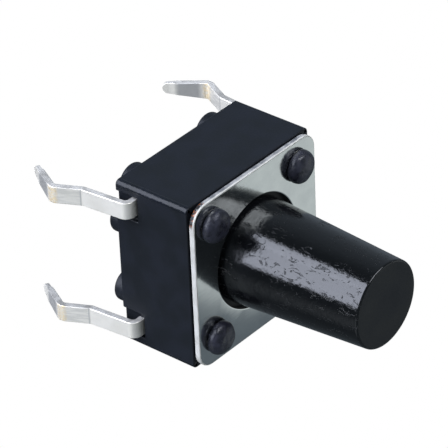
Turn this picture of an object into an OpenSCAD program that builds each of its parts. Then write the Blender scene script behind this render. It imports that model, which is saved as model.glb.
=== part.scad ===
// Tactile push button switch: a square moulded housing with two insert-moulded terminals, a snap
// dome, a steel cover staked down at its corners and a tall round plunger.
// Millimetres. +Z is up, the way the plunger points. The origin is the middle of the board seat,
// the plane on which the housing's feet stand. The terminals run along X and leave at the X sides.

/* [Housing] */
// Width of the square housing
base_w = 6; // [5.8:0.1:8]
// Height of the housing block above its feet
base_h = 2.95; // [2.8:0.05:4]
// Thickness of the floor under the cavity, down to the underside
floor_t = 0.8; // [0.6:0.05:1.1]
// Radius of the upright edges
base_edge_r = 0.18; // [0.1:0.02:0.3]
// Width of the broken edge around the top and the underside
base_break = 0.05; // [0.02:0.01:0.1]

/* [Feet] */
// Height of the feet that keep the housing off the board
foot_h = 0.38; // [0.2:0.01:0.6]
// Diameter of the four feet along the plain sides
side_foot_d = 1.24; // [0.8:0.02:1.4]
// Diameter of the four feet beside the pins
pin_foot_d = 1.08; // [0.6:0.02:1.2]
// Radius around the bottom of each foot
foot_edge_r = 0.1; // [0.02:0.02:0.15]
// Distance from a plain side to the feet along it
side_foot_inset = 0.1; // [0.05:0.01:0.3]
// Distance from a pin side to the feet beside the pins
pin_foot_inset = 0.02; // [0.01:0.01:0.2]
// Distance from a pin side to the middle of the feet along the plain sides
side_foot_at = 1.15; // [0.9:0.05:1.5]
// Distance from the middle of a leg to the middle of the foot beside it
pin_foot_pitch = 0.94; // [0.8:0.02:1.2]

/* [Stakes] */
// Distance from the sides of the housing to the middle of each stake
stake_inset = 0.9; // [0.75:0.05:0.95]
// Diameter of the stake's post
stake_d = 0.9; // [0.6:0.05:1]
// Diameter of the head formed over the cover
stake_head_d = 1.14; // [1.1:0.02:1.4]
// Height of the head's upright rim
stake_rim_h = 0.18; // [0.1:0.02:0.3]
// Rise of the head's crown above its rim
stake_crown_h = 0.27; // [0.08:0.01:0.32]
// Clearance around a post in its hole in the cover
stake_clear = 0.05; // [0.02:0.01:0.06]

/* [Cover] */
// Thickness of the cover plate
cover_t = 0.2; // [0.15:0.05:0.4]
// Distance that the cover's edge stays inside the housing's sides
cover_inset = 0.01; // [0.01:0.01:0.1]
// Radius of the cover's corners
cover_corner_r = 0.6; // [0.3:0.1:0.9]

/* [Plunger] */
// Height of the plunger's end above the board seat
plunger_top = 8.6; // [4.3:0.1:17]
// Diameter of the plunger where it leaves the cover
plunger_d = 3.56; // [3.2:0.02:3.7]
// Diameter of the plunger at its end
plunger_tip_d = 2.96; // [2.6:0.02:3.2]
// Radius around the plunger's end
plunger_edge_r = 0.08; // [0.04:0.02:0.3]
// Clearance around the plunger in the cover
plunger_clear = 0.17; // [0.1:0.01:0.2]
// Width by which the flange catches under the cover
flange_lip = 0.22; // [0.15:0.01:0.24]
// Height of the flange that guides the plunger in the cavity
flange_h = 1; // [0.4:0.1:1.2]
// Clearance around the flange in the cavity
flange_clear = 0.1; // [0.06:0.02:0.14]
// Play between the flange and the cover at rest
flange_play = 0.02; // [0.01:0.01:0.05]
// Diameter of the nub that presses the dome
nub_d = 1.6; // [1:0.1:2]
// Travel of the plunger
travel = 0.25; // [0.1:0.05:0.35]

/* [Snap dome] */
// Thickness of the dome's sheet
dome_t = 0.07; // [0.05:0.01:0.1]
// Clearance around the dome's rim in the cavity
dome_clear = 0.12; // [0.05:0.01:0.2]
// Height left under the middle of the dome at full travel
dome_spare = 0.02; // [0.01:0.01:0.05]
// Gap between the dome and the nub at rest
nub_gap = 0.03; // [0.01:0.01:0.05]

/* [Terminals] */
// Thickness of the terminal strip
strip_t = 0.22; // [0.15:0.01:0.3]
// Width of the strip and its legs
leg_w = 0.6; // [0.5:0.05:0.7]
// Distance from the plain sides of the housing to the middle of the legs
leg_inset = 0.75; // [0.6:0.05:0.8]
// Gap between the housing's side and the leg at the level of the strip
leg_gap = 0.15; // [0.05:0.01:0.25]
// Inside radius of the bend at the leg's root and at its knee
bend_r = 0.12; // [0.08:0.02:0.2]
// Outward lean of the leg above its crease, in degrees
root_lean = 5; // [3:0.5:14]
// Outward lean between the crease and the knee, in degrees
knee_lean = 26.5; // [16:0.5:32]
// Inward rake of the leg below the knee, in degrees
tip_rake = 29.5; // [20:0.5:36]
// Depth of the crease below the board seat
crease_depth = 0.6; // [0.5:0.05:1]
// Depth of the knee below the board seat
knee_depth = 1.5; // [1.3:0.05:2]
// Depth of the leg's tip below the board seat
tip_depth = 2.9; // [2.7:0.05:4]
// Width of the leg at its round tip
tip_w = 0.4; // [0.3:0.01:0.5]
// Height over which the leg narrows to its tip
taper_h = 1.3; // [0.5:0.05:1.5]
// Thickness of the coined tip
coin_t = 0.15; // [0.1:0.01:0.15]
// Length of the coined tip
coin_len = 0.45; // [0.2:0.05:0.6]

/* [Contacts] */
// Width of the tongue that joins a strip to its contact
tongue_w = 0.9; // [0.5:0.1:1.2]
// Diameter of the pad under the centre of the dome
pad_d = 1.3; // [1:0.1:1.8]
// Diameter of the raised contact on the pad
contact_d = 0.8; // [0.5:0.1:1]
// Height of the raised contact
contact_h = 0.06; // [0.03:0.01:0.1]
// Width of the rim contact that shows inside the cavity
rim_contact_w = 0.6; // [0.4:0.05:0.7]
// Depth by which the rim contact reaches under the cavity's wall
rim_contact_bite = 0.1; // [0.05:0.05:0.15]
// Opening of the rim contact, through which the tongue passes, in degrees
rim_contact_gap = 100; // [90:5:140]

/* [Notches] */
// Depth of the notches in the sides where the legs leave
notch_depth = 0.12; // [0.1:0.01:0.5]
// Clearance between a leg and its notch on the side of the housing's middle
notch_clear_in = 0.18; // [0.04:0.01:0.25]
// Clearance between a leg and its notch on the side of the housing's corner
notch_clear_out = 0.08; // [0.05:0.01:0.2]
// Clearance above the strip in its notch
notch_clear_top = 0.06; // [0.03:0.01:0.15]

/* [Hidden] */
$fn = 96;

// A cut runs this far past the face that it opens
through = 0.2;
// A boss is rooted this far in the block that carries it
root = 0.15;
// Degrees in each flat of a bend, and the count of flats in each quarter of a corner
bend_step = 10;
corner_steps = 8;

half = base_w / 2;
top_z = foot_h + base_h;
cover_z = top_z + cover_t;
floor_z = foot_h + floor_t;

leg_y = half - leg_inset;
stake_xy = half - stake_inset;
hole_r = plunger_d / 2 + plunger_clear;
flange_r = hole_r + flange_lip;
cavity_r = flange_r + flange_clear;
dome_r = cavity_r - dome_clear;
dome_rise = travel + contact_h + dome_spare;
nub_z = floor_z + dome_rise + dome_t + nub_gap;
flange_z = top_z - flange_play;

// Point at distance 1 in direction a
function unit(a) = [cos(a), sin(a)];

// Points of an arc about c with radius r, from angle a to angle b
function arc(c, r, a, b) = [for (i = [0:corner_steps]) c + r * unit(a + (b - a) * i / corner_steps)];

// Outline of a square of side w with corners of radius r
function round_square(w, r) =
    [for (q = [0:3]) each arc((w / 2 - r) * sqrt(2) * unit(45 + 90 * q), r, 90 * q, 90 * q + 90)];

// Outline of a rectangle, w wide and from height 0 to h, with its corners cut by c
function cut_rect(w, h, c) =
    [[-w / 2 + c, 0], [w / 2 - c, 0], [w / 2, c], [w / 2, h - c],
     [w / 2 - c, h], [-w / 2 + c, h], [-w / 2, h - c], [-w / 2, c]];

// One side of a strip that is bent at corner v, from heading a to heading b, with inside radius r.
// Side 1 lies left of the heading and side -1 lies right of it.
function bend(v, a, b, r, side) =
    let (turn = sign(b - a),
         mid_r = r + strip_t / 2,
         centre = v - mid_r * tan(abs(b - a) / 2) * unit(a) + turn * mid_r * unit(a + 90),
         reach = mid_r - turn * side * strip_t / 2,
         steps = max(2, ceil(abs(b - a) / bend_step)))
    [for (i = [0:steps]) centre + reach * unit(a + (b - a) * i / steps - turn * 90)];

// The leg's middle line, as seen from the side: its corners and the heading after each of them
strip_mid = floor_z - strip_t / 2;
root_heading = root_lean - 90;
knee_heading = knee_lean - 90;
tip_heading = -90 - tip_rake;
root_corner = [half + leg_gap + strip_t / 2, strip_mid];
crease = [root_corner.x + (strip_mid + crease_depth) * tan(root_lean), -crease_depth];
knee = [crease.x + (knee_depth - crease_depth) * tan(knee_lean), -knee_depth];
tip_mid = coin_t / 2 * sin(tip_rake) - tip_depth;
tip = [knee.x - (knee.y - tip_mid) * tan(tip_rake), tip_mid];
crease_r = 0.02;

// One side of the leg, from the middle of the strip to the coined tip
function leg_side(side) = concat(
    [[0, strip_mid + side * strip_t / 2]],
    bend(root_corner, 0, root_heading, bend_r, side),
    bend(crease, root_heading, knee_heading, crease_r, side),
    bend(knee, knee_heading, tip_heading, bend_r, side),
    [tip - coin_len * unit(tip_heading) + side * strip_t / 2 * unit(tip_heading + 90),
     tip - (coin_len - strip_t / 4) * unit(tip_heading) + side * coin_t / 2 * unit(tip_heading + 90),
     tip + side * coin_t / 2 * unit(tip_heading + 90)]);

// Half of the staple's side view, then the whole of it
half_staple = concat(leg_side(1), [for (i = [len(leg_side(-1)) - 1:-1:1]) leg_side(-1)[i]]);
staple_outline = concat(half_staple, [[0, strip_mid - strip_t / 2]]);

// Front view of a leg: straight sides that narrow to a round tip
function leg_front() =
    let (r = tip_w / 2, low = -tip_depth)
    concat([[leg_w / 2, floor_z + through], [-leg_w / 2, floor_z + through], [-leg_w / 2, low + taper_h]],
           arc([0, low + r], r, 180, 360),
           [[leg_w / 2, low + taper_h]]);

// Stands the outline that follows up in the XZ plane and gives it a depth of w along Y
module across(w) {
    rotate([90, 0, 0])
        linear_extrude(height = w, center = true)
            children();
}

// A strip that runs along X, with a leg bent down at each end
module staple() {
    intersection() {
        across(leg_w + through)
            for (side = [0, 1])
                mirror([side, 0])
                    polygon(staple_outline);
        rotate([90, 0, 90])
            linear_extrude(height = 4 * half, center = true)
                polygon(leg_front());
    }
}

// A flat blank of the terminals' sheet, flush with the cavity's floor
module sheet_blank() {
    translate([0, 0, floor_z - strip_t])
        linear_extrude(height = strip_t)
            children();
}

// The flat inner part of the terminal that ends in the pad under the dome's centre
module centre_blank() {
    sheet_blank() {
        circle(d = pad_d);
        translate([-tongue_w / 2, 0])
            square([tongue_w, leg_y]);
    }
}

// The flat inner part of the terminal that ends in the open ring under the dome's rim
module rim_blank() {
    gap_reach = 2 * cavity_r;
    ring_in = cavity_r - rim_contact_w;
    ring_out = cavity_r + rim_contact_bite;
    sheet_blank() {
        difference() {
            circle(r = ring_out);
            circle(r = ring_in);
            polygon([[0, 0], gap_reach * unit(90 - rim_contact_gap / 2), [0, gap_reach * 2],
                     gap_reach * unit(90 + rim_contact_gap / 2)]);
        }
        translate([-tongue_w / 2, -leg_y])
            square([tongue_w, leg_y - ring_in - rim_contact_w / 2]);
    }
}

// The room that the two strips and their blanks take in the housing
module strip_seats() {
    for (side = [-1, 1])
        translate([0, side * leg_y, strip_mid])
            cube([2 * base_w, leg_w, strip_t], center = true);
    centre_blank();
    rim_blank();
}

// The block, square with rounded upright edges and broken edges above and below
module block() {
    translate([0, 0, foot_h])
        intersection() {
            linear_extrude(height = base_h)
                polygon(round_square(base_w, base_edge_r));
            across(base_w + through)
                polygon(cut_rect(base_w, base_h, base_break));
            rotate([0, 0, 90])
                across(base_w + through)
                    polygon(cut_rect(base_w, base_h, base_break));
        }
}

// A round foot that stands on the board seat
module foot(d) {
    rotate_extrude()
        polygon(concat([[0, foot_h + root], [0, 0]],
                       arc([d / 2 - foot_edge_r, foot_edge_r], foot_edge_r, 270, 360),
                       [[d / 2, foot_h + root]]));
}

// The eight feet: two along each plain side and one beside each pin
module feet() {
    side_foot = [half - side_foot_at, half - side_foot_inset - side_foot_d / 2];
    pin_foot = [half - pin_foot_inset - pin_foot_d / 2, leg_y - pin_foot_pitch];
    for (x = [-1, 1], y = [-1, 1]) {
        translate([x * side_foot.x, y * side_foot.y, 0])
            foot(side_foot_d);
        translate([x * pin_foot.x, y * pin_foot.y, 0])
            foot(pin_foot_d);
    }
}

// A post through the cover with a crowned head formed over it
module stake() {
    head_r = stake_head_d / 2;
    crown_r = (pow(head_r, 2) + pow(stake_crown_h, 2)) / (2 * stake_crown_h);
    crown_a = asin(head_r / crown_r);
    rim_z = cover_z + stake_rim_h;
    rotate_extrude()
        polygon(concat([[0, top_z - root], [stake_d / 2, top_z - root], [stake_d / 2, cover_z],
                        [head_r, cover_z]],
                       arc([0, rim_z + stake_crown_h - crown_r], crown_r, 90 - crown_a, 90)));
}

// The notch at each leg, open to the side and to the underside
module notches() {
    low_y = leg_y - leg_w / 2 - notch_clear_in;
    high_y = leg_y + leg_w / 2 + notch_clear_out;
    for (x = [0, 1], y = [0, 1])
        mirror([x, 0, 0])
            mirror([0, y, 0])
                translate([half - notch_depth, low_y, foot_h - through])
                    cube([notch_depth + through, high_y - low_y, floor_t + notch_clear_top + through]);
}

module housing() {
    color("#23272c")
        difference() {
            union() {
                block();
                feet();
                for (x = [-1, 1], y = [-1, 1])
                    translate([x * stake_xy, y * stake_xy, 0])
                        stake();
            }
            translate([0, 0, floor_z])
                cylinder(r = cavity_r, h = base_h);
            notches();
            strip_seats();
        }
}

module terminal_centre() {
    color("#d3d6d8") {
        translate([0, leg_y, 0])
            staple();
        centre_blank();
        translate([0, 0, floor_z - strip_t / 2])
            cylinder(d = contact_d, h = strip_t / 2 + contact_h);
    }
}

module terminal_rim() {
    color("#d3d6d8") {
        translate([0, -leg_y, 0])
            staple();
        rim_blank();
    }
}

// A shallow spherical cap of thin sheet that stands on its rim
module snap_dome() {
    ball_r = (pow(dome_r, 2) + pow(dome_rise, 2)) / (2 * dome_rise);
    rim_a = asin(dome_r / ball_r);
    centre = [0, floor_z + dome_rise - ball_r];
    color("#b9bcbd")
        rotate_extrude()
            polygon(concat(arc(centre, ball_r, 90, 90 - rim_a),
                           arc(centre, ball_r + dome_t, 90 - rim_a, 90)));
}

// The button: a tapered round shaft, a flange that the cover holds in and a nub over the dome
module plunger() {
    tip_r = plunger_tip_d / 2;
    flare = (plunger_d - plunger_tip_d) / 2 / (plunger_top - cover_z);
    edge_z = plunger_top - plunger_edge_r;
    nub_break = 0.1;
    color("#1c1f23")
        rotate_extrude()
            polygon(concat([[0, nub_z], [nub_d / 2 - nub_break, nub_z], [nub_d / 2, nub_z + nub_break],
                            [nub_d / 2, flange_z - flange_h], [flange_r, flange_z - flange_h],
                            [flange_r, flange_z], [tip_r + flare * (plunger_top - flange_z), flange_z]],
                           arc([tip_r - plunger_edge_r, edge_z], plunger_edge_r, 0, 90),
                           [[0, plunger_top]]));
}

// The stamped steel plate that closes the cavity, with a hole for each stake and for the plunger
module cover_plate() {
    color("#b4b8ba")
        translate([0, 0, top_z])
            difference() {
                linear_extrude(height = cover_t)
                    polygon(round_square(base_w - 2 * cover_inset, cover_corner_r));
                translate([0, 0, -through])
                    cylinder(r = hole_r, h = cover_t + 2 * through);
                for (x = [-1, 1], y = [-1, 1])
                    translate([x * stake_xy, y * stake_xy, -through])
                        cylinder(d = stake_d + 2 * stake_clear, h = cover_t + 2 * through);
            }
}

housing();
terminal_centre();
terminal_rim();
snap_dome();
plunger();
cover_plate();
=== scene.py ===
"""The looks of a tactile push button switch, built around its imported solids.

Shapes are modelled in millimetres and become pieces in metres. +Z is the way the plunger points, and
the origin is the middle of the board seat.
"""
from math import asin, cos, pi, radians, sin, sqrt, tan

import bmesh
import bpy
from mathutils import Matrix, Quaternion, Vector, noise


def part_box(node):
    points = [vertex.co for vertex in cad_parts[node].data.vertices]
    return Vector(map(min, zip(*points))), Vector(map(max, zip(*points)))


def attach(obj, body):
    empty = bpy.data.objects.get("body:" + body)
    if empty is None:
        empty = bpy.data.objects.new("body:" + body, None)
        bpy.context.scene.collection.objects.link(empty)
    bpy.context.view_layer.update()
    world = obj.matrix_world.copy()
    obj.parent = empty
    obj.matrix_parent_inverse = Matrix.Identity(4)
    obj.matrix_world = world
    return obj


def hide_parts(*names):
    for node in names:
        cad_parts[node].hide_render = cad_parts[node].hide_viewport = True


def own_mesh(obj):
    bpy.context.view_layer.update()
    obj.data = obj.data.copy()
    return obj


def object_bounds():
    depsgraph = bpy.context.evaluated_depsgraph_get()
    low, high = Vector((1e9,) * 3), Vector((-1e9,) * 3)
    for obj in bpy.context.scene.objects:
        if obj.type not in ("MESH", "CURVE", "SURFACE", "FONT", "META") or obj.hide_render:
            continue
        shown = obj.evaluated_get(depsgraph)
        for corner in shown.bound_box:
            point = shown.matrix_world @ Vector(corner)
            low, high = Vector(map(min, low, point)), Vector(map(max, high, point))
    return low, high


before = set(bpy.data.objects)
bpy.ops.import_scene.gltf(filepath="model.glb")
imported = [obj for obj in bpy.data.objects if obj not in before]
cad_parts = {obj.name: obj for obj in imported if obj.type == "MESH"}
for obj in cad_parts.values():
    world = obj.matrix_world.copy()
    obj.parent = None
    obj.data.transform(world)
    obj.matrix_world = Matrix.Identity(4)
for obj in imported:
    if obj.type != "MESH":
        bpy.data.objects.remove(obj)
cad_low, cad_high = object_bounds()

MM = 0.001
WELD = 1e-4

# ---------------------------------------------------------------- sizes, in millimetres


def box_mm(node):
    """The lowest and highest corner of a CAD node."""
    low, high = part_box(node)
    return low / MM, high / MM


housing_high = box_mm("housing")[1]
cover_low, cover_high = box_mm("cover_plate")
plunger_low, plunger_high = box_mm("plunger")
dome_low, dome_high = box_mm("snap_dome")
centre_low = box_mm("terminal_centre")[0]

HALF = housing_high.x
COVER_BOTTOM, COVER_TOP = cover_low.z, cover_high.z
COVER_HALF = cover_high.x
FLOOR = dome_low.z

# Housing
UNDERSIDE = 0.38
UPRIGHT_R = 0.18
EDGE_BREAK = 0.05
CAVITY_R = 2.27
NOTCH_DEPTH = 0.12
NOTCH_LOW_Y, NOTCH_HIGH_Y = 1.77, 2.63
NOTCH_TOP = 1.24
SIDE_FOOT_R, SIDE_FOOT_AT = 0.62, (1.85, 2.28)
PIN_FOOT_R, PIN_FOOT_AT = 0.54, (2.44, 1.31)
FOOT_EDGE_R = 0.1
FOOT_ROOT = 0.1
LEDGE_H, LEDGE_IN = 0.07, 0.3

# Stakes
STAKE_AT = HALF - 0.9
POST_R = 0.45
HEAD_R = 0.57
HEAD_SIDE_H = 0.09
HEAD_FULLNESS = 0.8
HEAD_UNDERCUT = 0.06
HEAD_DENT = 0.06
HEAD_SQUEEZE = 0.05

# Cover
COVER_CORNER_R = 0.6
COVER_HOLE_R = 1.95
COVER_STAKE_HOLE_R = 0.5
COVER_BREAK = 0.04
COVER_DROOP = 0.026
COVER_BURR = 0.03
COVER_EDGE_FROM = 2.6

# Plunger
TIP_R = 1.48
SHAFT_R = 1.78
END_EDGE_R = 0.08
FLANGE_H = 1.0
FLANGE_TOP = COVER_BOTTOM - 0.02
NUB_R = 0.8
NUB_BREAK = 0.1
END_RING = 0.3

# Terminals
STRIP_T = 0.22
LEG_W = 0.6
LEG_Y = 2.25
LEG_GAP = 0.15
BEND_R = 0.12
CREASE_R = 0.02
ROOT_LEAN, KNEE_LEAN, TIP_RAKE = 5.0, 26.5, 29.5
CREASE_DEPTH, KNEE_DEPTH = 0.6, 1.5
TIP_DEPTH = -centre_low.z
TIP_W, TAPER_LEN = 0.4, 1.49
COIN_T, COIN_LEN = 0.15, 0.45
STRIP_BREAK = 0.028
SHEARED_LEAN = 0.8
TONGUE_W = 0.9
PAD_R = 0.65
CONTACT_R, CONTACT_H = 0.4, 0.06
CONTACT_EDGE_R = 0.04
RIM_CONTACT_IN, RIM_CONTACT_OUT = 1.67, 2.37
RIM_CONTACT_GAP = 100.0
TONGUE_RAISED, TONGUE_SUNK = 0.01, 0.002
TONGUE_OVERLAP = 0.1
BLANK_BREAK = 0.02

# Snap dome
DOME_T = 0.07

# ---------------------------------------------------------------- shaping


def arc(centre, radius, start, end, steps):
    """Points of an arc in a profile, from one angle to another, in degrees."""
    turns = [radians(start + (end - start) * i / steps) for i in range(steps + 1)]
    return [(centre[0] + radius * cos(a), centre[1] + radius * sin(a)) for a in turns]


def spun(profile, at=(0, 0), steps=96):
    """A solid of revolution about an upright axis, from its (radius, height) points."""
    bm = bmesh.new()
    verts = [bm.verts.new((r, 0, z)) for r, z in profile]
    edges = [bm.edges.new(pair) for pair in zip(verts, verts[1:])]
    bmesh.ops.spin(bm, geom=verts + edges, cent=(0, 0, 0), axis=(0, 0, 1), dvec=(0, 0, 0),
                   angle=2 * pi, steps=steps, use_merge=True, use_duplicate=False)
    bmesh.ops.remove_doubles(bm, verts=bm.verts, dist=WELD)
    bmesh.ops.recalc_face_normals(bm, faces=bm.faces)
    bmesh.ops.translate(bm, verts=bm.verts, vec=(*at, 0))
    return bm


def everything(bm):
    return bm.verts[:] + bm.edges[:] + bm.faces[:]


def push_out(bm, faces, by):
    """Extrudes faces and leaves no wall behind them. Returns the moved faces."""
    around = {g for f in faces for g in (*f.edges, *f.verts)}
    made = bmesh.ops.extrude_face_region(bm, geom=[*faces, *around])["geom"]
    bmesh.ops.translate(bm, verts=[g for g in made if isinstance(g, bmesh.types.BMVert)], vec=by)
    return [g for g in made if isinstance(g, bmesh.types.BMFace)]


def slice_at(bm, axis, place):
    """Cuts new edges where an upright or level plane crosses the shape."""
    normal = Vector((0, 0, 0))
    normal[axis] = 1
    bmesh.ops.bisect_plane(bm, geom=everything(bm), dist=WELD / 10, plane_co=normal * place,
                           plane_no=normal)


def sharp_edges(bm, degrees):
    return [e for e in bm.edges if e.is_manifold and e.calc_face_angle() > radians(degrees)]


def break_edges(bm, width, degrees=40, segments=3):
    """Rounds every edge that is sharper than an angle."""
    bmesh.ops.recalc_face_normals(bm, faces=bm.faces)
    bmesh.ops.bevel(bm, geom=sharp_edges(bm, degrees), offset=width, segments=segments, profile=0.5,
                    affect="EDGES", material=-1, clamp_overlap=True)


def joined(*shapes):
    """One shape out of several, which are used up."""
    whole = bmesh.new()
    for shape in shapes:
        part = bpy.data.meshes.new("part")
        shape.to_mesh(part)
        shape.free()
        whole.from_mesh(part)
        bpy.data.meshes.remove(part)
    return whole


def plate(outlines, bottom, top):
    """A flat plate between two heights. Each outline is a bmesh with one closed loop of edges."""
    bm = joined(*outlines)
    bmesh.ops.delete(bm, geom=bm.faces[:], context="FACES_ONLY")
    bmesh.ops.triangle_fill(bm, use_beauty=True, edges=bm.edges[:])
    raised = bmesh.ops.extrude_face_region(bm, geom=bm.faces[:])["geom"]
    bmesh.ops.translate(bm, verts=[g for g in raised if isinstance(g, bmesh.types.BMVert)],
                        vec=(0, 0, top - bottom))
    bmesh.ops.translate(bm, verts=bm.verts, vec=(0, 0, bottom))
    bmesh.ops.recalc_face_normals(bm, faces=bm.faces)
    return bm


def ring_outline(radius, at=(0, 0), steps=96):
    bm = bmesh.new()
    bmesh.ops.create_circle(bm, cap_ends=False, radius=radius, segments=steps,
                            matrix=Matrix.Translation((*at, 0)))
    return bm


def shade_evenly(mesh, degrees=38):
    """Smooth shading that leaves flat faces flat: at each corner the larger faces weigh more."""
    mesh.shade_smooth()
    mesh.set_sharp_from_angle(angle=radians(degrees))
    around = [[] for _ in mesh.vertices]
    for f in mesh.polygons:
        for v in f.vertices:
            around[v].append((f.normal.copy(), f.area / MM ** 2))
    normals = []
    for f in mesh.polygons:
        for v in f.vertices:
            near = [n * area for n, area in around[v] if n.dot(f.normal) > cos(radians(degrees))]
            normals.append(sum(near, Vector((0, 0, 0))).normalized())
    mesh.normals_split_custom_set(normals)


def piece(name, bm, finishes, body, node):
    """Turns a shape in millimetres into a finished piece in metres that stands for a CAD node."""
    bmesh.ops.scale(bm, vec=(MM, MM, MM), verts=bm.verts)
    mesh = bpy.data.meshes.new(name)
    bm.to_mesh(mesh)
    bm.free()
    shade_evenly(mesh)
    for finish in finishes:
        mesh.materials.append(finish)
    obj = bpy.data.objects.new(name, mesh)
    bpy.context.scene.collection.objects.link(obj)
    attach(obj, body)
    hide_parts(node)
    return obj


# ---------------------------------------------------------------- nodes


def linear(hex_colour):
    """A colour for a shader socket, from the usual six digits."""
    channels = [int(hex_colour[i:i + 2], 16) / 255 for i in (1, 3, 5)]
    return (*[c / 12.92 if c <= 0.04045 else ((c + 0.055) / 1.055) ** 2.4 for c in channels], 1)


def add(tree, kind, inputs=None, **settings):
    """Adds a node. Inputs go by name or number, and each is a value or another node's output."""
    node = tree.nodes.new(kind)
    for name, value in settings.items():
        setattr(node, name, value)
    for name, value in (inputs or {}).items():
        if isinstance(value, bpy.types.NodeSocket):
            tree.links.new(value, node.inputs[name])
        else:
            node.inputs[name].default_value = value
    return node


def maths(tree, operation, *values):
    return add(tree, "ShaderNodeMath", dict(enumerate(values)), operation=operation).outputs[0]


def vector_maths(tree, operation, *values):
    node = add(tree, "ShaderNodeVectorMath", dict(enumerate(values)), operation=operation)
    return node.outputs["Value" if operation == "DOT_PRODUCT" else "Vector"]


def ramp(tree, value, start, end, low=0.0, high=1.0):
    """A smooth step of a value from start to end."""
    return add(tree, "ShaderNodeMapRange", {"Value": value, "From Min": start, "From Max": end,
                                            "To Min": low, "To Max": high},
               interpolation_type="SMOOTHSTEP").outputs["Result"]


def blend_colours(tree, share, first, second, blend_type="MIX"):
    node = add(tree, "ShaderNodeMix", {0: share, 6: first, 7: second}, data_type="RGBA",
               blend_type=blend_type)
    return node.outputs[2]


def cloud(tree, place, scale, detail=2.0, roughness=0.5, distortion=0.0):
    """Soft noise, from 0 to 1, with that many waves in a millimetre."""
    return add(tree, "ShaderNodeTexNoise", {"Vector": place, "Scale": scale, "Detail": detail,
                                            "Roughness": roughness,
                                            "Distortion": distortion}).outputs[0]


def group(name, inputs, outputs):
    """An empty shader node group: its tree, its input sockets by name, and its output node."""
    tree = bpy.data.node_groups.new(name, "ShaderNodeTree")
    for socket, kind, value in inputs:
        made = tree.interface.new_socket(socket, in_out="INPUT", socket_type=kind)
        if value is not None:
            made.default_value = value
    for socket, kind in outputs:
        tree.interface.new_socket(socket, in_out="OUTPUT", socket_type=kind)
    source = tree.nodes.new("NodeGroupInput")
    return tree, source.outputs, tree.nodes.new("NodeGroupOutput")


NUMBER, PLACE = "NodeSocketFloat", "NodeSocketVector"


def make_moulded_grain():
    """Height of a moulded or worn surface: fine grain over slow waves."""
    tree, given, out = group("moulded_grain", [("Place", PLACE, None), ("Grain", NUMBER, 12.0),
                                               ("Waves", NUMBER, 1.5), ("Wave Share", NUMBER, 0.5)],
                             [("Height", NUMBER), ("Mottle", NUMBER)])
    grain = cloud(tree, given["Place"], given["Grain"], 4.0, 0.6)
    waves = cloud(tree, given["Place"], given["Waves"], 2.0, 0.5)
    height = add(tree, "ShaderNodeMix", {0: given["Wave Share"], 2: grain, 3: waves}).outputs[0]
    tree.links.new(height, out.inputs["Height"])
    tree.links.new(ramp(tree, waves, 0.35, 0.65), out.inputs["Mottle"])
    return tree


def make_drawn_streaks():
    """Fine streaks that run along X, as rolling or brushing leaves in sheet metal."""
    tree, given, out = group("drawn_streaks", [("Place", PLACE, None), ("Across", NUMBER, 30.0),
                                               ("Along", NUMBER, 1.2)],
                             [("Height", NUMBER), ("Mottle", NUMBER)])
    stretch = add(tree, "ShaderNodeCombineXYZ", {0: given["Along"], 1: given["Across"],
                                                 2: given["Across"]}).outputs[0]
    streaks = cloud(tree, vector_maths(tree, "MULTIPLY", given["Place"], stretch), 1.0, 3.0, 0.6)
    tree.links.new(streaks, out.inputs["Height"])
    mottle = cloud(tree, given["Place"], 1.1, 3.0, 0.6)
    tree.links.new(ramp(tree, mottle, 0.3, 0.7), out.inputs["Mottle"])
    return tree


def make_skin_cracks():
    """Short strokes and pits drawn out along Z, as in a skin that has shrunk: 1 inside a stroke."""
    tree, given, out = group("skin_cracks", [("Place", PLACE, None), ("Size", NUMBER, 4.5),
                                             ("Depth", NUMBER, 0.41), ("Sparseness", NUMBER, 0.4)],
                             [("Crack", NUMBER)])
    drawn = vector_maths(tree, "MULTIPLY", given["Place"], (1.0, 1.0, 0.45))
    field = cloud(tree, drawn, given["Size"], 4.0, 0.75, 1.5)
    stroke = ramp(tree, maths(tree, "SUBTRACT", given["Depth"], field), 0.0, 0.02)
    spread = cloud(tree, vector_maths(tree, "ADD", given["Place"], (5.0, 3.0, 0.0)), 1.6, 1.0, 0.5)
    here = ramp(tree, maths(tree, "SUBTRACT", spread, given["Sparseness"]), 0.0, 0.06)
    tree.links.new(maths(tree, "MULTIPLY", stroke, here), out.inputs["Crack"])
    return tree


moulded_grain = make_moulded_grain()
drawn_streaks = make_drawn_streaks()
skin_cracks = make_skin_cracks()


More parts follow.
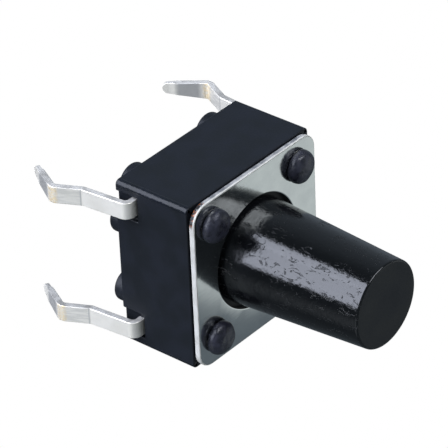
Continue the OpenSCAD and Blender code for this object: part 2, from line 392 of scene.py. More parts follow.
class Finish:
    """A material under way: its node tree, its shader, and places on the piece in millimetres."""

    def __init__(self, name, **shader_values):
        self.material = bpy.data.materials.new(name)
        self.material.use_nodes = True
        self.tree = self.material.node_tree
        self.shader = self.tree.nodes["Principled BSDF"]
        for socket, value in shader_values.items():
            self.shader.inputs[socket.replace("_", " ")].default_value = value
        where = add(self.tree, "ShaderNodeTexCoord").outputs["Object"]
        scale = add(self.tree, "ShaderNodeMapping", {"Vector": where, "Scale": (1 / MM,) * 3})
        self.place = scale.outputs[0]

    def part(self, node_tree, **inputs):
        """Places a node group, fed with places on the piece."""
        node = add(self.tree, "ShaderNodeGroup", node_tree=node_tree)
        self.tree.links.new(self.place, node.inputs["Place"])
        for socket, value in inputs.items():
            node.inputs[socket.replace("_", " ")].default_value = value
        return node.outputs

    def feed(self, socket, value):
        self.tree.links.new(value, self.shader.inputs[socket])

    def blend(self, share, first, second):
        """A value between two others."""
        return add(self.tree, "ShaderNodeMix", {0: share, 2: first, 3: second}).outputs[0]

    def nearer_axis(self):
        """The smaller of the distances from the middle along X and along Y."""
        spot = add(self.tree, "ShaderNodeSeparateXYZ", {0: self.place}).outputs
        return maths(self.tree, "MINIMUM", maths(self.tree, "ABSOLUTE", spot["X"]),
                     maths(self.tree, "ABSOLUTE", spot["Y"]))

    def band(self, value, low, high, soft):
        """1 between two values, with soft ends."""
        rise = ramp(self.tree, value, low - soft, low + soft)
        return maths(self.tree, "MULTIPLY", rise, ramp(self.tree, value, high + soft, high - soft))

    def bump(self, height, depth_mm):
        """Relief of that depth. It is laid over what already feeds the shader's normal."""
        node = add(self.tree, "ShaderNodeBump", {"Distance": depth_mm * MM, "Height": height})
        if self.shader.inputs["Normal"].links:
            before = self.shader.inputs["Normal"].links[0].from_socket
            self.tree.links.new(before, node.inputs["Normal"])
        self.feed("Normal", node.outputs[0])


# ---------------------------------------------------------------- finishes


def housing_plastic():
    """Black moulded plastic with a fine spark-eroded grain, worn smooth along its upright edges."""
    f = Finish("housing_plastic", Specular_IOR_Level=0.2)
    grain = f.part(moulded_grain, Grain=16.0, Waves=1.3, Wave_Share=0.35)
    f.feed("Base Color", blend_colours(f.tree, grain["Mottle"], linear("#15181c"), linear("#181b21")))
    satin = ramp(f.tree, grain["Height"], 0.3, 0.7, 0.36, 0.50)
    edge = ramp(f.tree, f.nearer_axis(), HALF - UPRIGHT_R - 0.03, HALF - UPRIGHT_R + 0.03)
    f.feed("Roughness", f.blend(edge, satin, 0.2))
    f.bump(grain["Height"], 0.004)
    f.bump(maths(f.tree, "MULTIPLY", edge, cloud(f.tree, f.place, 7.0, 3.0, 0.6)), 0.02)
    return f.material


def head_plastic():
    """The same plastic where a hot punch has formed it: lumpier, with a slight shine."""
    f = Finish("head_plastic", Specular_IOR_Level=0.5)
    grain = f.part(moulded_grain, Grain=9.0, Waves=4.0, Wave_Share=0.5)
    f.feed("Base Color", blend_colours(f.tree, grain["Mottle"], linear("#202028"), linear("#2f2f3a")))
    f.feed("Roughness", ramp(f.tree, grain["Mottle"], 0.0, 1.0, 0.26, 0.42))
    f.bump(grain["Height"], 0.03)
    return f.material


def shaft_plastic():
    """Glossy black plastic with a wrinkled, finely cracked skin, speckled near the cover."""
    f = Finish("shaft_plastic", Specular_IOR_Level=0.5)
    grain = f.part(moulded_grain, Grain=7.0, Waves=3.0, Wave_Share=0.4)
    height = add(f.tree, "ShaderNodeSeparateXYZ", {0: f.place}).outputs["Z"]
    speckle = cloud(f.tree, f.place, 20.0, 3.0, 0.7)
    base = ramp(f.tree, maths(f.tree, "ADD", height, maths(f.tree, "MULTIPLY", speckle, 0.9)), 5.4, 4.4)
    f.feed("Base Color", blend_colours(f.tree, base, linear("#070809"), linear("#101113")))
    skin = ramp(f.tree, cloud(f.tree, f.place, 2.5, 2.0, 0.6), 0.35, 0.65, 0.03, 0.12)
    crack = f.part(skin_cracks)["Crack"]
    f.feed("Roughness", f.blend(crack, skin, 0.5))
    f.bump(grain["Height"], 0.011)
    f.bump(maths(f.tree, "MULTIPLY", base, speckle), 0.006)
    f.bump(maths(f.tree, "SUBTRACT", 1.0, crack), 0.02)
    return f.material


def end_plastic():
    """The matte end and flange of the plunger."""
    f = Finish("end_plastic", Specular_IOR_Level=0.25)
    grain = f.part(moulded_grain, Grain=20.0, Waves=1.0, Wave_Share=0.4)
    f.feed("Base Color", blend_colours(f.tree, grain["Mottle"], linear("#101315"), linear("#13161a")))
    f.feed("Roughness", ramp(f.tree, grain["Height"], 0.3, 0.7, 0.45, 0.6))
    f.bump(grain["Height"], 0.002)
    return f.material


def cover_face():
    """Bright rolled steel with fine streaks."""
    f = Finish("cover_face", Metallic=1.0, Anisotropic=0.5)
    streaks = f.part(drawn_streaks, Across=26.0, Along=1.6)
    f.feed("Base Color", blend_colours(f.tree, streaks["Mottle"], linear("#cbcdca"), linear("#d5d7d3")))
    f.feed("Roughness", ramp(f.tree, streaks["Height"], 0.25, 0.75, 0.07, 0.15))
    f.bump(streaks["Height"], 0.0012)
    towards_corner = vector_maths(f.tree, "DOT_PRODUCT", f.place, (-0.4, -0.9, 0))
    droop = maths(f.tree, "POWER", maths(f.tree, "MAXIMUM", towards_corner, 0.0), 2.0)
    f.bump(maths(f.tree, "MULTIPLY", droop, -COVER_DROOP), 1.0)
    f.feed("Tangent", add(f.tree, "ShaderNodeTangent", direction_type="UV_MAP",
                          uv_map="rolling").outputs[0])
    return f.material


def cover_edge():
    """The sheared edge of the cover: matte, nearly white, with painted shade on its Y sides below the
    rounded top, and rusty specks at one corner.
    """
    f = Finish("cover_edge", Metallic=0.15)
    grain = f.part(moulded_grain, Grain=14.0, Waves=3.0, Wave_Share=0.5)
    spot = add(f.tree, "ShaderNodeSeparateXYZ", {0: f.place}).outputs
    # painted shade: below the rounded top, the edge's Y sides are painted dark grey
    along_x = ramp(f.tree, maths(f.tree, "ABSOLUTE", spot["Y"]), COVER_HALF - 0.1, COVER_HALF - 0.02)
    low = ramp(f.tree, spot["Z"], COVER_TOP - COVER_BREAK, COVER_TOP - 2 * COVER_BREAK)
    painted_shade_y_sides = blend_colours(f.tree, maths(f.tree, "MULTIPLY", along_x, low), linear("#c2bfb6"),
                        linear("#646567"))
    bare = blend_colours(f.tree, f.blend(grain["Mottle"], 0.0, 0.35), painted_shade_y_sides, linear("#dedcd6"))
    corner = ramp(f.tree, vector_maths(f.tree, "DOT_PRODUCT", f.place, (-0.5, 0.5, 0)), 2.64, 2.74)
    specks = ramp(f.tree, cloud(f.tree, f.place, 7.0, 3.0, 0.7), 0.28, 0.4)
    stain = blend_colours(f.tree, ramp(f.tree, cloud(f.tree, f.place, 9.0), 0.5, 0.6),
                          linear("#0c0a0a"), linear("#8a4a1e"))
    share = maths(f.tree, "MULTIPLY", maths(f.tree, "MULTIPLY", corner, low), specks)
    f.feed("Base Color", blend_colours(f.tree, share, bare, stain))
    f.feed("Roughness", ramp(f.tree, grain["Height"], 0.3, 0.7, 0.5, 0.7))
    f.bump(grain["Height"], 0.015)
    return f.material


def tin_face():
    """Matte tin plating on the flat faces of the terminals, with marks of the bending tool at the
    creases, yellowish knees, and painted shade along each crease and on the lower legs."""
    f = Finish("tin_face", Metallic=0.45)
    grain = f.part(moulded_grain, Grain=10.0, Waves=1.6, Wave_Share=0.5)
    height = add(f.tree, "ShaderNodeSeparateXYZ", {0: f.place}).outputs["Z"]
    plated = blend_colours(f.tree, grain["Mottle"], linear("#f0eadc"), linear("#f7f1e4"))
    streaks = cloud(f.tree, vector_maths(f.tree, "MULTIPLY", f.place, (1.5, 13.0, 1.5)), 1.0, 3.0, 0.6)
    bent = f.band(height, -KNEE_DEPTH + 0.15, -CREASE_DEPTH - 0.02, 0.05)
    rubbed = maths(f.tree, "MULTIPLY", bent, ramp(f.tree, streaks, 0.35, 0.6, 0.15, 1.0))
    plated = blend_colours(f.tree, maths(f.tree, "MULTIPLY", rubbed, 0.38), plated, linear("#b2b0aa"))
    knee = maths(f.tree, "MULTIPLY", f.band(height, -KNEE_DEPTH - 0.12, -KNEE_DEPTH + 0.2, 0.06),
                 ramp(f.tree, cloud(f.tree, f.place, 12.0, 2.0, 0.6), 0.4, 0.65, 0.3, 1.0))
    plated = blend_colours(f.tree, maths(f.tree, "MULTIPLY", knee, 0.8), plated, linear("#f8dca6"))
    # painted shade: a dark line along each crease, standing for the shade in its groove
    crease = f.band(height, -CREASE_DEPTH - 0.03, -CREASE_DEPTH + 0.01, 0.015)
    plated = blend_colours(f.tree, maths(f.tree, "MULTIPLY", crease, 0.45), plated, linear("#7c8288"))
    # painted shade: the legs are painted greyer from below the knee to half a millimetre above the tip
    painted_shade_lower_legs = f.band(height, -TIP_DEPTH + 0.5, -KNEE_DEPTH - 0.2, 0.1)
    plated = blend_colours(f.tree, maths(f.tree, "MULTIPLY", painted_shade_lower_legs, 0.7), plated, linear("#8e8f8f"))
    f.feed("Base Color", plated)
    f.feed("Roughness", ramp(f.tree, grain["Height"], 0.3, 0.7, 0.3, 0.42))
    f.bump(grain["Height"], 0.003)
    return f.material


def sheared_metal():
    """The bare sheared sides of the terminals."""
    f = Finish("sheared_metal", Metallic=0.3)
    grain = f.part(moulded_grain, Grain=12.0, Waves=2.5, Wave_Share=0.5)
    f.feed("Base Color", blend_colours(f.tree, grain["Mottle"], linear("#a3a09a"), linear("#c6c3bd")))
    f.feed("Roughness", ramp(f.tree, grain["Height"], 0.3, 0.7, 0.4, 0.6))
    f.bump(grain["Height"], 0.008)
    return f.material


def dome_steel():
    """Polished spring steel."""
    f = Finish("dome_steel", Metallic=1.0)
    streaks = f.part(drawn_streaks, Across=18.0, Along=2.0)
    f.feed("Base Color", blend_colours(f.tree, streaks["Mottle"], linear("#b4b6b5"), linear("#c6c8c7")))
    f.feed("Roughness", ramp(f.tree, streaks["Height"], 0.25, 0.75, 0.2, 0.35))
    f.bump(streaks["Height"], 0.0006)
    return f.material


housing_finish = housing_plastic()
head_finish = head_plastic()
shaft_finish = shaft_plastic()
end_finish = end_plastic()
cover_finish = cover_face()
cover_edge_finish = cover_edge()
tin_finish = tin_face()
sheared_finish = sheared_metal()
dome_finish = dome_steel()

# ---------------------------------------------------------------- housing


def in_notch(centre):
    return NOTCH_LOW_Y < abs(centre.y) < NOTCH_HIGH_Y and centre.z < NOTCH_TOP


def block_shape():
    """The square block, with a notch for each leg and the round cavity."""
    bm = bmesh.new()
    bmesh.ops.create_cube(bm, size=1)
    ledge = COVER_BOTTOM - LEDGE_H
    bmesh.ops.scale(bm, vec=(2 * HALF, 2 * HALF, ledge - UNDERSIDE), verts=bm.verts)
    bmesh.ops.translate(bm, vec=(0, 0, (ledge + UNDERSIDE) / 2), verts=bm.verts)
    upright = [e for e in bm.edges if abs(e.verts[0].co.z - e.verts[1].co.z) > WELD]
    bmesh.ops.bevel(bm, geom=upright, offset=UPRIGHT_R, segments=6, profile=0.5, affect="EDGES",
                    material=-1)
    for side in (-1, 1):
        slice_at(bm, 0, side * (HALF - NOTCH_DEPTH))
        slice_at(bm, 1, side * NOTCH_LOW_Y)
        slice_at(bm, 1, side * NOTCH_HIGH_Y)
    slice_at(bm, 2, NOTCH_TOP)
    for side in (-1, 1):
        patch = [f for f in bm.faces if side * f.calc_center_median().x > HALF - WELD
                 and in_notch(f.calc_center_median())]
        push_out(bm, patch, (-side * NOTCH_DEPTH, 0, 0))
    open_below = [f for f in bm.faces if f.calc_center_median().z < UNDERSIDE + WELD
                  and abs(f.calc_center_median().x) > HALF - NOTCH_DEPTH
                  and in_notch(f.calc_center_median())]
    bmesh.ops.delete(bm, geom=open_below, context="FACES")
    bmesh.ops.remove_doubles(bm, verts=bm.verts, dist=WELD)
    bmesh.ops.dissolve_limit(bm, angle_limit=radians(1), use_dissolve_boundaries=False,
                             verts=bm.verts, edges=bm.edges, delimit=set())
    break_edges(bm, EDGE_BREAK)
    top = top_face(bm)
    bmesh.ops.inset_individual(bm, faces=[top], thickness=LEDGE_IN)
    push_out(bm, [top], (0, 0, LEDGE_H))
    open_cavity(bm)
    return bm


def top_face(bm):
    return max(bm.faces, key=lambda f: f.calc_center_median().z * f.normal.z)


def open_cavity(bm):
    """Replaces the block's top face by a flat rim around the cavity, with its wall and floor."""
    top = top_face(bm)
    rim = list(top.edges)
    bmesh.ops.delete(bm, geom=[top], context="FACES_ONLY")
    mouth = bmesh.ops.create_circle(bm, cap_ends=False, radius=CAVITY_R, segments=96,
                                    matrix=Matrix.Translation((0, 0, COVER_BOTTOM)))["verts"]
    mouth_edges = list({e for v in mouth for e in v.link_edges})
    bmesh.ops.triangle_fill(bm, use_beauty=True, edges=rim + mouth_edges)
    wall = bmesh.ops.extrude_edge_only(bm, edges=mouth_edges)["geom"]
    bmesh.ops.translate(bm, verts=[g for g in wall if isinstance(g, bmesh.types.BMVert)],
                        vec=(0, 0, FLOOR - COVER_BOTTOM))
    bmesh.ops.edgeloop_fill(bm, edges=[g for g in wall if isinstance(g, bmesh.types.BMEdge)
                                       and g.is_boundary])
    bmesh.ops.recalc_face_normals(bm, faces=bm.faces)


def foot_shape(radius, at):
    profile = [(0, 0), *arc((radius - FOOT_EDGE_R, FOOT_EDGE_R), FOOT_EDGE_R, -90, 0, 6),
               (radius, UNDERSIDE + FOOT_ROOT), (0, UNDERSIDE + FOOT_ROOT)]
    return spun(profile, at, 48)


def head_shape(at):
    """A stake's post and the lumpy head that was melted over the cover."""
    side = COVER_TOP + HEAD_SIDE_H
    crown_h = housing_high.z - side
    profile = [(0, COVER_BOTTOM - FOOT_ROOT), (POST_R, COVER_BOTTOM - FOOT_ROOT), (POST_R, COVER_TOP),
               (HEAD_R - HEAD_UNDERCUT, COVER_TOP), (HEAD_R - 0.015, COVER_TOP + 0.04), (HEAD_R, side)]
    for i in range(1, 15):
        a = pi / 2 * i / 15
        profile.append((HEAD_R * cos(a) ** HEAD_FULLNESS, side + crown_h * sin(a) ** HEAD_FULLNESS))
    profile.append((0, housing_high.z))
    bm = spun(profile, at, 64)
    for v in bm.verts:
        if v.co.z > COVER_TOP + 0.02:
            dent = noise.noise(v.co * 2.5) ** 2 + 0.15 * abs(noise.noise(v.co * 7.0))
            squeeze = 1 - HEAD_SQUEEZE * abs(noise.noise(v.co * 1.8 + Vector((9, 0, 0))))
            v.co.z -= HEAD_DENT * dent * (v.co.z - COVER_TOP) / crown_h
            v.co.x = at[0] + (v.co.x - at[0]) * squeeze
            v.co.y = at[1] + (v.co.y - at[1]) * squeeze
    return bm


def build_housing():
    piece("housing_block", block_shape(), [housing_finish], "base", "housing")
    corners = [(x, y) for x in (-1, 1) for y in (-1, 1)]
    feet = [foot_shape(radius, (x * at[0], y * at[1]))
            for radius, at in ((SIDE_FOOT_R, SIDE_FOOT_AT), (PIN_FOOT_R, PIN_FOOT_AT))
            for x, y in corners]
    piece("housing_feet", joined(*feet), [housing_finish], "base", "housing")
    for number, (x, y) in enumerate(corners, 1):
        piece(f"stake_head_{number}", head_shape((x * STAKE_AT, y * STAKE_AT)), [head_finish], "base",
              "housing")


# ---------------------------------------------------------------- cover


def cover_shape():
    """The stamped plate, with its holes, and its streaks' direction as a UV map."""
    outline = bmesh.new()
    bmesh.ops.create_grid(outline, x_segments=1, y_segments=1, size=COVER_HALF)
    bmesh.ops.bevel(outline, geom=outline.verts[:], offset=COVER_CORNER_R, segments=10, profile=0.5,
                    affect="VERTICES", material=-1)
    holes = [ring_outline(COVER_HOLE_R)]
    holes += [ring_outline(COVER_STAKE_HOLE_R, (x * STAKE_AT, y * STAKE_AT), 48)
              for x in (-1, 1) for y in (-1, 1)]
    sides = [e for e in outline.edges if e.calc_length() > 1]
    bmesh.ops.subdivide_edges(outline, edges=sides, cuts=60)
    bm = plate([outline, *holes], COVER_BOTTOM, COVER_TOP)
    break_edges(bm, COVER_BREAK, 60, 2)
    for v in bm.verts:
        if max(abs(v.co.x), abs(v.co.y)) > COVER_HALF - WELD \
                and v.co.z < COVER_TOP - COVER_BREAK - WELD:
            v.co.z += COVER_BURR * noise.noise(v.co * 1.7)
    rolling = bm.loops.layers.uv.new("rolling")
    for f in bm.faces:
        outside = max(abs(f.calc_center_median().x), abs(f.calc_center_median().y)) > COVER_EDGE_FROM
        f.material_index = 1 if outside and abs(f.normal.z) < 0.98 else 0
        for loop in f.loops:
            loop[rolling].uv = loop.vert.co.xy
    return bm


def build_cover():
    piece("cover_plate_steel", cover_shape(), [cover_finish, cover_edge_finish], "base",
          "cover_plate")


# ---------------------------------------------------------------- plunger


def plunger_shape():
    """The tapered shaft, the flange under the cover and the nub over the dome."""
    top = plunger_high.z
    flare = (SHAFT_R - TIP_R) / (top - COVER_TOP)
    profile = [(0, plunger_low.z), (NUB_R - NUB_BREAK, plunger_low.z),
               (NUB_R, plunger_low.z + NUB_BREAK),
               (NUB_R, FLANGE_TOP - FLANGE_H), (plunger_high.x, FLANGE_TOP - FLANGE_H),
               (plunger_high.x, FLANGE_TOP), (TIP_R + flare * (top - FLANGE_TOP), FLANGE_TOP),
               *arc((TIP_R - END_EDGE_R, top - END_EDGE_R), END_EDGE_R, 3, 90, 6),
               (TIP_R - END_RING, top), (0, top)]
    bm = spun(profile, steps=128)
    for f in bm.faces:
        height = f.calc_center_median().z
        on_end = f.normal.z > 0.95 and height > top - END_EDGE_R
        f.material_index = 1 if on_end or height < COVER_BOTTOM else 0
    return bm


def build_plunger():
    piece("plunger_shaft", plunger_shape(), [shaft_finish, end_finish], "button",
          "plunger")


# ---------------------------------------------------------------- terminals


class Strip:
    """A strip of sheet that is pushed forward and bent in the XZ plane, starting at x = 0."""

    def __init__(self, middle_z):
        self.bm = bmesh.new()
        bmesh.ops.create_grid(self.bm, x_segments=1, y_segments=1, size=0.5)
        bmesh.ops.rotate(self.bm, cent=(0, 0, 0), matrix=Matrix.Rotation(pi / 2, 3, "Y"),
                         verts=self.bm.verts)
        bmesh.ops.scale(self.bm, vec=(1, LEG_W, STRIP_T), verts=self.bm.verts)
        bmesh.ops.translate(self.bm, vec=(0, 0, middle_z), verts=self.bm.verts)
        bmesh.ops.bevel(self.bm, geom=self.bm.verts[:], offset=STRIP_BREAK, segments=3, profile=0.5,
                        affect="VERTICES", material=-1)
        self.end = self.bm.faces[:][0]
        self.at = Vector((0, 0, middle_z))
        self.heading = 0.0

    def ahead(self, degrees=0.0):
        a = radians(self.heading + degrees)
        return Vector((cos(a), 0, sin(a)))

    def push_to(self, place):
        """Extrudes the strip's end straight to a place on its heading."""
        self.end, = push_out(self.bm, [self.end], place - self.at)
        self.at = place

    def bend_at(self, corner, heading, inside_r, steps):
        """Goes to a corner of the middle line and bends there to a new heading."""
        turn = heading - self.heading
        side = 1 if turn > 0 else -1
        reach = inside_r + STRIP_T / 2
        self.push_to(corner - self.ahead() * reach * tan(radians(abs(turn) / 2)))
        centre = self.at + self.ahead(90 * side) * reach
        geom = [self.end, *self.end.edges, *self.end.verts]
        made = bmesh.ops.spin(self.bm, geom=geom, cent=centre, axis=(0, -1, 0), dvec=(0, 0, 0),
                              angle=radians(turn), steps=steps, use_merge=False, use_duplicate=False)
        self.end = next(g for g in made["geom_last"] if isinstance(g, bmesh.types.BMFace))
        self.heading = heading
        self.at = centre - self.ahead(90 * side) * reach

    def thin_end(self, thickness):
        """Squeezes the strip's end across its thickness."""
        across = self.ahead(90)
        for v in self.end.verts:
            off = (v.co - self.at).dot(across)
            v.co += across * off * (thickness / STRIP_T - 1)


def leg_shape():
    """Half of a staple: the strip from x = 0, bent down at its root, crease and knee."""
    strip_mid = FLOOR - STRIP_T / 2
    root = Vector((HALF + LEG_GAP + STRIP_T / 2, 0, strip_mid))
    crease = Vector((root.x + (strip_mid + CREASE_DEPTH) * tan(radians(ROOT_LEAN)), 0, -CREASE_DEPTH))
    knee = Vector((crease.x + (KNEE_DEPTH - CREASE_DEPTH) * tan(radians(KNEE_LEAN)), 0, -KNEE_DEPTH))
    tip_z = COIN_T / 2 * sin(radians(TIP_RAKE)) - TIP_DEPTH
    tip = Vector((knee.x + (tip_z - knee.z) * tan(radians(TIP_RAKE)), 0, tip_z))
    strip = Strip(strip_mid)
    start_cap = strip.end
    strip.bend_at(root, ROOT_LEAN - 90, BEND_R, 12)
    strip.bend_at(crease, KNEE_LEAN - 90, CREASE_R, 2)
    strip.bend_at(knee, -90 - TIP_RAKE, BEND_R, 8)
    strip.push_to(tip - strip.ahead() * COIN_LEN)
    strip.push_to(tip - strip.ahead() * (COIN_LEN - STRIP_T / 2))
    strip.thin_end(COIN_T)
    strip.push_to(tip)
    round_tip(strip.bm, tip, strip.ahead())
    if start_cap.is_valid:
        bmesh.ops.delete(strip.bm, geom=[start_cap], context="FACES_ONLY")
    return strip.bm


def round_tip(bm, tip, heading):
    """Narrows the leg towards its tip and gives it a round end."""
    r = TIP_W / 2
    cuts = [TAPER_LEN] + [r * (1 - cos(radians(a))) for a in range(90, 0, -15)]
    for distance in cuts:
        bmesh.ops.bisect_plane(bm, geom=everything(bm), dist=WELD / 10,
                               plane_co=tip - heading * distance, plane_no=heading)
    for v in bm.verts:
        back = (tip - v.co).dot(heading)
        if v.co.z > -1 or back > TAPER_LEN - WELD:
            continue
        if back > r:
            half = r + (LEG_W / 2 - r) * (back - r) / (TAPER_LEN - r)
        else:
            half = sqrt(max(0, r ** 2 - (r - back) ** 2))
        v.co.y *= half / (LEG_W / 2)
    bmesh.ops.remove_doubles(bm, verts=bm.verts, dist=WELD)


def staple_shape(side):
    """A strip with a leg at both ends, with bare metal on its sheared sides."""
    bm = leg_shape()
    bmesh.ops.mirror(bm, geom=everything(bm), matrix=Matrix.Identity(4), merge_dist=WELD, axis="X")
    bmesh.ops.translate(bm, vec=(0, side * LEG_Y, 0), verts=bm.verts)
    bmesh.ops.recalc_face_normals(bm, faces=bm.faces)
    for f in bm.faces:
        f.material_index = 1 if abs(f.normal.y) > SHEARED_LEAN else 0
    return bm


def centre_blank_shape():
    """The tongue, the pad under the dome's centre and its raised contact."""
    low, high = FLOOR - STRIP_T, FLOOR
    outline = bmesh.new()
    bmesh.ops.create_grid(outline, x_segments=1, y_segments=1, size=0.5)
    bmesh.ops.scale(outline, vec=(TONGUE_W, LEG_Y, 1), verts=outline.verts)
    bmesh.ops.translate(outline, vec=(0, LEG_Y / 2, 0), verts=outline.verts)
    tongue = plate([outline], low + TONGUE_RAISED, high - TONGUE_SUNK)
    pad = spun([(0, low), (PAD_R, low), (PAD_R, high), (CONTACT_R, high),
                *arc((CONTACT_R - CONTACT_EDGE_R, high + CONTACT_H - CONTACT_EDGE_R), CONTACT_EDGE_R,
                     0, 90, 3),
                (0, high + CONTACT_H)], steps=64)
    return joined(tongue, pad)


def rim_blank_shape():
    """The tongue and the open ring under the dome's rim."""
    low, high = FLOOR - STRIP_T, FLOOR
    bm = bmesh.new()
    profile = [(RIM_CONTACT_IN, low), (RIM_CONTACT_OUT, low), (RIM_CONTACT_OUT, high),
               (RIM_CONTACT_IN, high)]
    face = bm.faces.new([bm.verts.new((r, 0, z)) for r, z in profile])
    start = Matrix.Rotation(radians(90 + RIM_CONTACT_GAP / 2), 3, "Z")
    bmesh.ops.rotate(bm, cent=(0, 0, 0), matrix=start, verts=bm.verts)
    bmesh.ops.spin(bm, geom=[face, *face.edges, *face.verts], cent=(0, 0, 0), axis=(0, 0, 1),
                   dvec=(0, 0, 0), angle=radians(360 - RIM_CONTACT_GAP), steps=52, use_merge=False,
                   use_duplicate=False)
    bmesh.ops.recalc_face_normals(bm, faces=bm.faces)
    outline = bmesh.new()
    reach = LEG_Y - (RIM_CONTACT_IN + RIM_CONTACT_OUT) / 2 + TONGUE_OVERLAP
    bmesh.ops.create_grid(outline, x_segments=1, y_segments=1, size=0.5)
    bmesh.ops.scale(outline, vec=(TONGUE_W, reach, 1), verts=outline.verts)
    bmesh.ops.translate(outline, vec=(0, -LEG_Y + reach / 2, 0), verts=outline.verts)
    tongue = plate([outline], low + TONGUE_RAISED, high - TONGUE_SUNK)
    return joined(bm, tongue)


def build_terminals():
    for name, node, side, blank in (("centre", "terminal_centre", 1, centre_blank_shape()),
                                    ("rim", "terminal_rim", -1, rim_blank_shape())):
        piece(f"{name}_legs", staple_shape(side), [tin_finish, sheared_finish], "base",
              node)
        break_edges(blank, BLANK_BREAK, 60, 2)
        piece(f"{name}_contact", blank, [tin_finish], "base", node)


# ---------------------------------------------------------------- snap dome


def dome_shape():
    rise = dome_high.z - FLOOR - DOME_T
    radius = dome_high.x
    ball = (radius ** 2 + rise ** 2) / (2 * rise)
    lean = asin(radius / ball) * 180 / pi
    centre = (0, FLOOR + rise - ball)
    profile = arc(centre, ball, 90, 90 - lean, 12) + arc(centre, ball + DOME_T, 90 - lean, 90, 12)
    return spun(profile)


def build_dome():
    dome = piece("snap_dome_sheet", dome_shape(), [dome_finish], "base", "snap_dome")
    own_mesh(dome)


build_housing()
build_cover()
build_plunger()
build_terminals()
build_dome()

# ---------------------------------------------------------------- light


def heading_vector(azimuth, elevation):
    """The direction at an azimuth from +X towards +Y and a height over the horizon, in degrees."""
    a, e = radians(azimuth), radians(elevation)
    return Vector((cos(a) * cos(e), sin(a) * cos(e), sin(e)))


def panel(tree, direction, azimuth, elevation, half_width, half_height, soft):
    """How much of a soft panel of light is seen in a direction. Soft is the blur of its low
    azimuth side, its high azimuth side, its foot and its head, as shares of its distance."""
    middle = heading_vector(azimuth, elevation)
    along = heading_vector(azimuth + 90, 0)
    up = heading_vector(azimuth, elevation + 90)
    depth = maths(tree, "MAXIMUM", vector_maths(tree, "DOT_PRODUCT", direction, tuple(middle)), 0.001)
    seen = ramp(tree, depth, 0.05, 0.1)
    for axis, half, near, far in ((along, half_width, soft[0], soft[1]),
                                  (up, half_height, soft[2], soft[3])):
        place = maths(tree, "DIVIDE", vector_maths(tree, "DOT_PRODUCT", direction, tuple(axis)), depth)
        seen = maths(tree, "MULTIPLY", seen, ramp(tree, place, -half - near, -half + near))
        seen = maths(tree, "MULTIPLY", seen, ramp(tree, place, half + far, half - far))
    return seen


def lobe(tree, direction, azimuth, elevation, start, end):
    """A broad glow around a direction, between two cosines."""
    aim = tuple(heading_vector(azimuth, elevation))
    return ramp(tree, vector_maths(tree, "DOT_PRODUCT", direction, aim), start, end)


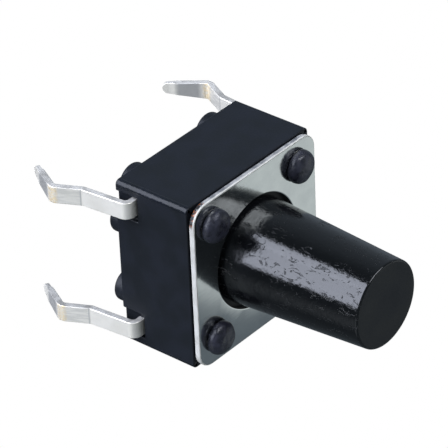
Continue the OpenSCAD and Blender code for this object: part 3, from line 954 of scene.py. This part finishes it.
def light_studio():
    """A dim tent, soft boxes below on the left and above, and a bright wall behind on the right."""
    world = bpy.data.worlds.new("studio")
    bpy.context.scene.world = world
    world.use_nodes = True
    tree = world.node_tree
    tree.nodes.clear()
    direction = add(tree, "ShaderNodeTexCoord").outputs["Generated"]
    box = panel(tree, direction, 141, -27, 0.545, 0.5, (0.02, 0.06, 0.08, 0.08))
    creases = ramp(tree, cloud(tree, direction, 9.0, 4.0, 0.65), 0.35, 0.65, 0.84, 1.12)
    key = maths(tree, "MULTIPLY", box, creases)
    sources = [
        (lobe(tree, direction, 0, 90, -1.5, 1.5), (0.13, 0.155, 0.18)),
        (key, (6.4, 6.8, 8.0)),
        (panel(tree, direction, -22, 42, 0.4, 0.42, (0.07, 0.1, 0.15, 0.15)), (0.5, 0.53, 0.53)),
        (panel(tree, direction, 78, 34, 0.36, 0.16, (0.1, 0.1, 0.06, 0.06)), (7.0, 7.3, 7.9)),
        (lobe(tree, direction, 215, -2, 0.84, 1.0), (0.5, 0.54, 0.58)),
        (lobe(tree, direction, 30, -28, 0.5, 1.0), (0.19, 0.225, 0.27)),
    ]
    total = add(tree, "ShaderNodeCombineXYZ", {0: 0.05, 1: 0.06, 2: 0.07}).outputs[0]
    for share, colour in sources:
        lit = add(tree, "ShaderNodeVectorMath", {0: colour, "Scale": share}, operation="SCALE")
        total = vector_maths(tree, "ADD", total, lit.outputs[0])
    studio = add(tree, "ShaderNodeBackground", {"Color": total, "Strength": 1.0}).outputs[0]
    sweep = add(tree, "ShaderNodeBackground", {"Color": (1, 1, 1, 1), "Strength": 1.0}).outputs[0]
    to_camera = add(tree, "ShaderNodeLightPath").outputs["Is Camera Ray"]
    mixed = add(tree, "ShaderNodeMixShader", {0: to_camera, 1: studio, 2: sweep}).outputs[0]
    add(tree, "ShaderNodeOutputWorld", {"Surface": mixed})


def lay_floor():
    """A white sweep under the legs. It glows evenly, casts nothing and vanishes from below."""
    bm = bmesh.new()
    bmesh.ops.create_grid(bm, x_segments=1, y_segments=1, size=2.0)
    bmesh.ops.translate(bm, verts=bm.verts, vec=(0, 0, cad_low.z - 0.00005))
    mesh = bpy.data.meshes.new("floor")
    bm.to_mesh(mesh)
    bm.free()
    floor = bpy.data.objects.new("floor", mesh)
    bpy.context.scene.collection.objects.link(floor)
    material = bpy.data.materials.new("floor_white")
    material.use_nodes = True
    tree = material.node_tree
    tree.nodes.clear()
    white = add(tree, "ShaderNodeEmission", {"Color": (1, 1, 1, 1), "Strength": 1.0}).outputs[0]
    clear = add(tree, "ShaderNodeBsdfTransparent").outputs[0]
    below = add(tree, "ShaderNodeNewGeometry").outputs["Backfacing"]
    mixed = add(tree, "ShaderNodeMixShader", {0: below, 1: white, 2: clear}).outputs[0]
    add(tree, "ShaderNodeOutputMaterial", {"Surface": mixed})
    mesh.materials.append(material)
    floor.visible_diffuse = False
    floor.visible_glossy = False
    floor.visible_transmission = False
    floor.visible_shadow = False


# ---------------------------------------------------------------- camera


def place_camera():
    """A long lens from the upper left, rolled so that the plunger points down to the right."""
    data = bpy.data.cameras.new("camera")
    data.lens = 269.99
    data.clip_start = 0.01
    data.clip_end = 10
    camera = bpy.data.objects.new("camera", data)
    bpy.context.scene.collection.objects.link(camera)
    aim = Vector((-0.300, 0.740, 2.439)) * MM
    heading, tilt, roll, distance = radians(130.95), radians(33.1), radians(112.82), 0.10576
    forward = Vector((sin(heading) * cos(tilt), cos(heading) * cos(tilt), -sin(tilt)))
    camera.location = aim - forward * distance
    camera.rotation_mode = "QUATERNION"
    camera.rotation_quaternion = forward.to_track_quat("-Z", "Y") @ Quaternion((0, 0, 1), roll)
    bpy.context.scene.camera = camera


light_studio()
lay_floor()
place_camera()
bpy.context.scene.view_settings.view_transform = "Standard"
